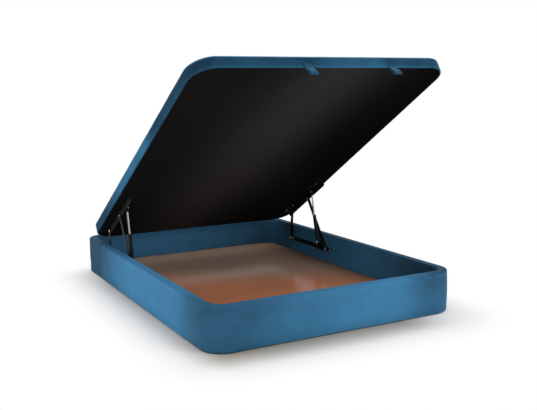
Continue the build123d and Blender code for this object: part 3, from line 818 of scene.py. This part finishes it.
class BED_OT_boards(bpy.types.Operator):
    """Wood inside the box and the lid"""

    bl_idname = "bed.boards"
    bl_label = "Boards and battens"

    def execute(self, context):
        wood = context.scene.bed_wood
        chip = self.wood("chipboard_raw", wood.board, "8F6E48", (1, 1, 1), 4 * MM, 0.85)
        soft = self.wood("spruce_planed", wood.softwood, "B58A52", (1, 1 / 22, 1 / 22), 5 * MM, 0.65)
        hard = self.wood("beech_milled", wood.beech, "B08250", (1 / 6, 1 / 6, 1 / 6), 3 * MM, 0.55)
        ply = self.wood("poplar_plywood_sanded", wood.softwood, "BF9560", (1 / 14, 1, 1 / 14), 6 * MM, 0.6)
        panels = ["side_panel_left", "side_panel_right", "head_panel", "foot_panel"]
        panels += both_sides("corner_post_head", "corner_post_foot")
        dress(panels, chip)
        battens = [f"lid_batten_{name}" for name in ("left", "right", "head", "foot", "corners")]
        dress(["floor_cleats", "floor_bearers", *battens], soft)
        dress(["corner_dowels"], hard)
        dress(["lid_board"], ply)
        # Dull black plastic with a faint speckle
        made, tree, shader = surface("polypropylene_moulded_black", Roughness=0.5, IOR=1.49)
        place = add(tree, "ShaderNodeTexCoord", output="Object")
        speckle = add(
            tree, "ShaderNodeTexNoise",
            {"Vector": place, "Scale": 1 / (3 * MM), "Detail": 3, "Roughness": 0.55},
        )
        ends = {6: opaque(linear("0E0E0E")), 7: opaque(linear("161616"))}
        base = add(tree, "ShaderNodeMix", {0: speckle, **ends}, 2, data_type="RGBA")
        bump = add(tree, "ShaderNodeBump", {"Height": speckle, "Distance": 0.1 * MM})
        feed(tree, shader, Base_Color=base, Normal=bump)
        dress(["glides"], made, 1 * MM)
        return {"FINISHED"}

    def wood(self, name, light, dark, stretch, size, roughness):
        """Bare wood: a matt warm surface whose grain or chips show as soft darker flecks."""
        made, tree, shader = surface(name, Roughness=roughness, IOR=1.5)
        place = add(tree, "ShaderNodeTexCoord", output="Object")
        flecks = add(tree, "ShaderNodeMapping", {"Vector": place, "Scale": stretch})
        flecks = add(
            tree, "ShaderNodeTexNoise",
            {"Vector": flecks, "Scale": 1 / size, "Detail": 4, "Roughness": 0.55},
        )
        flecks = add(
            tree, "ShaderNodeMapRange", [flecks, 0.35, 0.65, 0, 0.8], interpolation_type="SMOOTHSTEP"
        )
        ends = {6: opaque(light), 7: opaque(linear(dark))}
        base = add(tree, "ShaderNodeMix", {0: flecks, **ends}, 2, data_type="RGBA")
        bump = add(tree, "ShaderNodeBump", {"Height": flecks, "Distance": 0.2 * MM, "Strength": 0.5})
        feed(tree, shader, Base_Color=base, Normal=bump)
        return made


class BED_OT_mechanism(bpy.types.Operator):
    """Steel of the lift mechanism and the lid's frame"""

    bl_idname = "bed.mechanism"
    bl_label = "Lift mechanism"

    def execute(self, context):
        steel = context.scene.bed_steel
        powder = self.metal("steel_powder_coated_black", steel.powder, "2A2725", 0.42, 0.0, 0.05 * MM)
        parts = both_sides("lower_bracket", "rear_link", "front_link", "upper_bracket")
        dress(parts, powder, steel.wear)
        dress(["lid_long_tubes", "lid_crossbars"], powder)
        lacquer = self.metal("steel_lacquered_satin_black", steel.lacquer, "242424", 0.3, 0.0, 0.02 * MM)
        dress(both_sides("gas_cylinder", "gas_foot_eye", "gas_rod_eye"), lacquer, 0.4 * MM)
        zinc = self.metal("steel_zinc_plated", steel.zinc, "C8CBCE", 0.45, 1.0, 0.03 * MM)
        bright = ["lower_bracket_bolts", "link_pins", "gas_foot_stud", "front_link_pin"]
        bright += ["gas_top_stud", "upper_bracket_pins", "upper_bracket_screws"]
        dress(both_sides(*bright), zinc, 0.4 * MM)
        chrome = self.metal("steel_ground_chrome_plated", steel.chrome, "86888A", 0.14, 1.0, 0.01 * MM)
        dress(both_sides("gas_rod"), chrome)
        return {"FINISHED"}

    def metal(self, name, light, worn, roughness, metallic, depth):
        """Coated or plated steel: an even skin with a slight orange peel and duller rubbed patches."""
        gleam = 0.5 if metallic else 0.06
        made, tree, shader = surface(
            name, Roughness=roughness, Metallic=metallic, Specular_IOR_Level=gleam
        )
        place = add(tree, "ShaderNodeTexCoord", output="Object")
        # Orange peel every 1 mm, drawn 3 mm apart to show
        peel = add(
            tree, "ShaderNodeTexNoise",
            {"Vector": place, "Scale": 1 / (3 * MM), "Detail": 2, "Roughness": 0.55},
        )
        rubbed = add(
            tree, "ShaderNodeTexNoise",
            {"Vector": place, "Scale": 1 / (40 * MM), "Detail": 4, "Roughness": 0.55},
        )
        rubbed = add(
            tree, "ShaderNodeMapRange", [rubbed, 0.45, 0.7, 0, 1], interpolation_type="SMOOTHSTEP"
        )
        ends = {6: opaque(light), 7: opaque(linear(worn))}
        base = add(tree, "ShaderNodeMix", {0: rubbed, **ends}, 2, data_type="RGBA")
        rough = add(tree, "ShaderNodeMapRange", [rubbed, 0, 1, roughness, roughness + 0.12])
        bump = add(tree, "ShaderNodeBump", {"Height": peel, "Distance": depth})
        feed(tree, shader, Base_Color=base, Roughness=rough, Normal=bump)
        return made


class BED_OT_stage(bpy.types.Operator):
    """Floor, light and camera"""

    bl_idname = "bed.stage"
    bl_label = "Stage"

    def execute(self, context):
        setup = context.scene.bed_stage
        self.floor(setup)
        self.world(context)
        self.lamp("side", (-4.6, 1.2, 2.4), (-0.4, 0, 0.1), size=2.6, power=60)
        self.lamp("front", (2.2, -4.6, 2.6), (0.2, -0.4, 0.2), size=2.6, power=75)
        self.camera(context, setup)
        context.scene.view_settings.view_transform = "Standard"
        return {"FINISHED"}

    def floor(self, setup):
        """A wide disc with closer rings under the bed."""
        radii, around = (0.5, 1, 2, 4, 8, 16, 40), 48
        verts = [(0, 0, 0)]
        for radius in radii:
            verts += [
                (radius * math.cos(2 * math.pi * n / around), radius * math.sin(2 * math.pi * n / around), 0)
                for n in range(around)
            ]
        faces = [(0, 1 + n, 1 + (n + 1) % around) for n in range(around)]
        for r in range(len(radii) - 1):
            a, b = 1 + r * around, 1 + (r + 1) * around
            faces += [(a + n, b + n, b + (n + 1) % around, a + (n + 1) % around) for n in range(around)]
        mesh = bpy.data.meshes.new("studio_floor")
        mesh.from_pydata(verts, [], faces)
        floor = bpy.data.objects.new("studio_floor", mesh)
        bpy.context.scene.collection.objects.link(floor)
        made, tree, shader = surface("studio_floor_matt_paint", Roughness=0.9)
        # Distance past the bed's outline, leaning to the foot and the left, where the shade lies
        place = add(tree, "ShaderNodeTexCoord", output="Object")
        lean = add(tree, "ShaderNodeVectorMath", [place, (0.035, 0.12, 0)], operation="ADD")
        lean = add(tree, "ShaderNodeVectorMath", [lean], operation="ABSOLUTE")
        inner = (half_width - corner_radius, half_length - corner_radius, 1)
        past = add(tree, "ShaderNodeVectorMath", [lean, inner], operation="SUBTRACT")
        past = add(tree, "ShaderNodeVectorMath", [past, (0, 0, 0)], operation="MAXIMUM")
        past = add(tree, "ShaderNodeVectorMath", [past], "Value", operation="LENGTH")
        near = [past, corner_radius - 0.13, corner_radius + 0.11, 1, 0]
        shade = add(tree, "ShaderNodeMapRange", near, interpolation_type="SMOOTHSTEP")
        apart = add(tree, "ShaderNodeSeparateXYZ", [place]).node.outputs
        for axis, low, high in (("X", 0.3, 0.6), ("Y", 0.35, 0.85)):
            share = add(
                tree, "ShaderNodeMapRange", [apart[axis], low, high, 1, 0], interpolation_type="SMOOTHSTEP"
            )
            shade = add(tree, "ShaderNodeMath", [shade, share], operation="MULTIPLY")
        ends = {6: opaque(setup.floor), 7: opaque(setup.shade)}
        base = add(tree, "ShaderNodeMix", {0: shade, **ends}, 2, data_type="RGBA")
        feed(tree, shader, Base_Color=base)
        far = [past, corner_radius - 0.02, corner_radius + 0.27]
        away = add(tree, "ShaderNodeMapRange", far, interpolation_type="SMOOTHSTEP")
        ray = add(tree, "ShaderNodeLightPath").node.outputs
        rays = [ray["Is Camera Ray"], ray["Is Glossy Ray"]]
        seen = add(tree, "ShaderNodeMath", rays, operation="MAXIMUM")
        share = add(tree, "ShaderNodeMath", [seen, away], operation="MULTIPLY")
        white = add(tree, "ShaderNodeEmission", {"Color": (1, 1, 1, 1), "Strength": 1})
        mixed = add(tree, "ShaderNodeMixShader", [share, shader.outputs["BSDF"], white])
        tree.links.new(mixed, tree.nodes["Material Output"].inputs["Surface"])
        mesh.materials.append(made)

    def world(self, context):
        """White all round for the eye and for mirror images, and a little dimmer as light."""
        world = bpy.data.worlds.new("studio")
        context.scene.world = world
        world.use_nodes = True
        tree = world.node_tree
        light = tree.nodes["Background"]
        light.inputs["Color"].default_value = (1, 1, 1, 1)
        light.inputs["Strength"].default_value = 0.83
        seen = add(tree, "ShaderNodeBackground", {"Color": (1, 1, 1, 1), "Strength": 1})
        ray = add(tree, "ShaderNodeLightPath").node.outputs
        rays = [ray["Is Camera Ray"], ray["Is Glossy Ray"]]
        shown = add(tree, "ShaderNodeMath", rays, operation="MAXIMUM")
        rays = [shown, ray["Is Transmission Ray"]]
        shown = add(tree, "ShaderNodeMath", rays, operation="MAXIMUM")
        mixed = add(tree, "ShaderNodeMixShader", [shown, light.outputs["Background"], seen])
        tree.links.new(mixed, tree.nodes["World Output"].inputs["Surface"])

    def lamp(self, name, place, target, size, power):
        """A soft square lamp."""
        light = bpy.data.lights.new(name, "AREA")
        light.shape, light.size, light.energy = "SQUARE", size, power
        lamp = bpy.data.objects.new(name, light)
        bpy.context.scene.collection.objects.link(lamp)
        lamp.location = place
        aim = Vector(target) - Vector(place)
        lamp.rotation_euler = aim.to_track_quat("-Z", "Y").to_euler()

    def camera(self, context, setup):
        """Camera at the photograph's place, turned, dipped and rolled as there."""
        view = bpy.data.cameras.new("camera")
        view.sensor_width, view.lens = SENSOR_WIDTH, setup.focal
        view.clip_start, view.clip_end = 0.05, 100
        camera = bpy.data.objects.new("camera", view)
        context.scene.collection.objects.link(camera)
        turn, dip = setup.turn, setup.dip
        ahead = Vector((math.sin(turn) * math.cos(dip), math.cos(turn) * math.cos(dip), -math.sin(dip)))
        right = Vector((math.cos(turn), -math.sin(turn), 0))
        up = right.cross(ahead)
        c, s = math.cos(setup.roll), math.sin(setup.roll)
        right, up = right * c + up * s, up * c - right * s
        camera.matrix_world = Matrix.Translation(Vector(setup.eye)) @ Matrix(
            (right, up, -ahead)
        ).transposed().to_4x4()
        context.scene.camera = camera


class BED_PT_panel(bpy.types.Panel):
    """Sizes, colours and steps of the bed base"""

    bl_label = "Bed base"
    bl_idname = "BED_PT_panel"
    bl_space_type = "VIEW_3D"
    bl_region_type = "UI"
    bl_category = "Bed base"

    def draw(self, context):
        for name in settings:
            box = self.layout.box()
            group = getattr(context.scene, name)
            for prop in group.bl_rna.properties:
                if prop.identifier not in ("name", "rna_type"):
                    box.prop(group, prop.identifier)
        for step in steps:
            self.layout.operator(step.bl_idname)


settings = {
    "bed_velvet": VelvetSettings,
    "bed_lid": LidSettings,
    "bed_wood": WoodSettings,
    "bed_steel": SteelSettings,
    "bed_stage": StageSettings,
}
steps = (
    BED_OT_cover,
    BED_OT_lining,
    BED_OT_lid,
    BED_OT_straps,
    BED_OT_floor_board,
    BED_OT_boards,
    BED_OT_mechanism,
    BED_OT_stage,
)


def register():
    for name, group in settings.items():
        bpy.utils.register_class(group)
        setattr(bpy.types.Scene, name, bpy.props.PointerProperty(type=group))
    for made in (*steps, BED_PT_panel):
        bpy.utils.register_class(made)


def unregister():
    for made in reversed((*steps, BED_PT_panel)):
        bpy.utils.unregister_class(made)
    for name, group in settings.items():
        delattr(bpy.types.Scene, name)
        bpy.utils.unregister_class(group)


def main():
    register()
    for step in steps:
        module, name = step.bl_idname.split(".")
        getattr(getattr(bpy.ops, module), name)()


if __name__ == "__main__":
    main()
